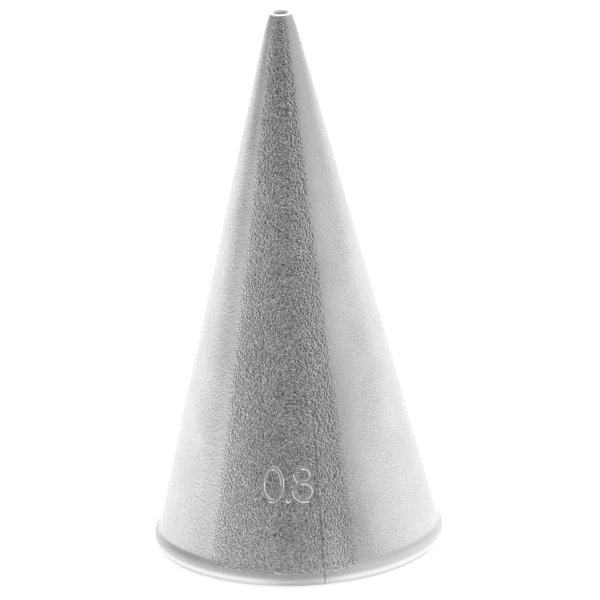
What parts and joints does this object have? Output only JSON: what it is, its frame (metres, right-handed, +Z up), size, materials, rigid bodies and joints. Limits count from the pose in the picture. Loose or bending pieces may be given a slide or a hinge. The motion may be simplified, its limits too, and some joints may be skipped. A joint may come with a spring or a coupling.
{
  "type": "piping nozzle",
  "caption": "Small plain round piping nozzle: a tall cone rolled from thin steel sheet, with a flared rim, a straight soldered seam and a fine round mouth.",
  "frame": {"origin": "middle of the foot, on the surface that the nozzle stands on", "axes": "+Z up the cone's axis, out of the mouth; -Y towards the stamped size mark"},
  "size_m": [0.018, 0.018, 0.0342],
  "materials": {
    "shell_steel": "satin",
    "seam_solder": "satin"
  },
  "bodies": {
    "root": {"cone_shell": "shell_steel", "seam_filler": "seam_solder"}
  },
  "joints": []
}
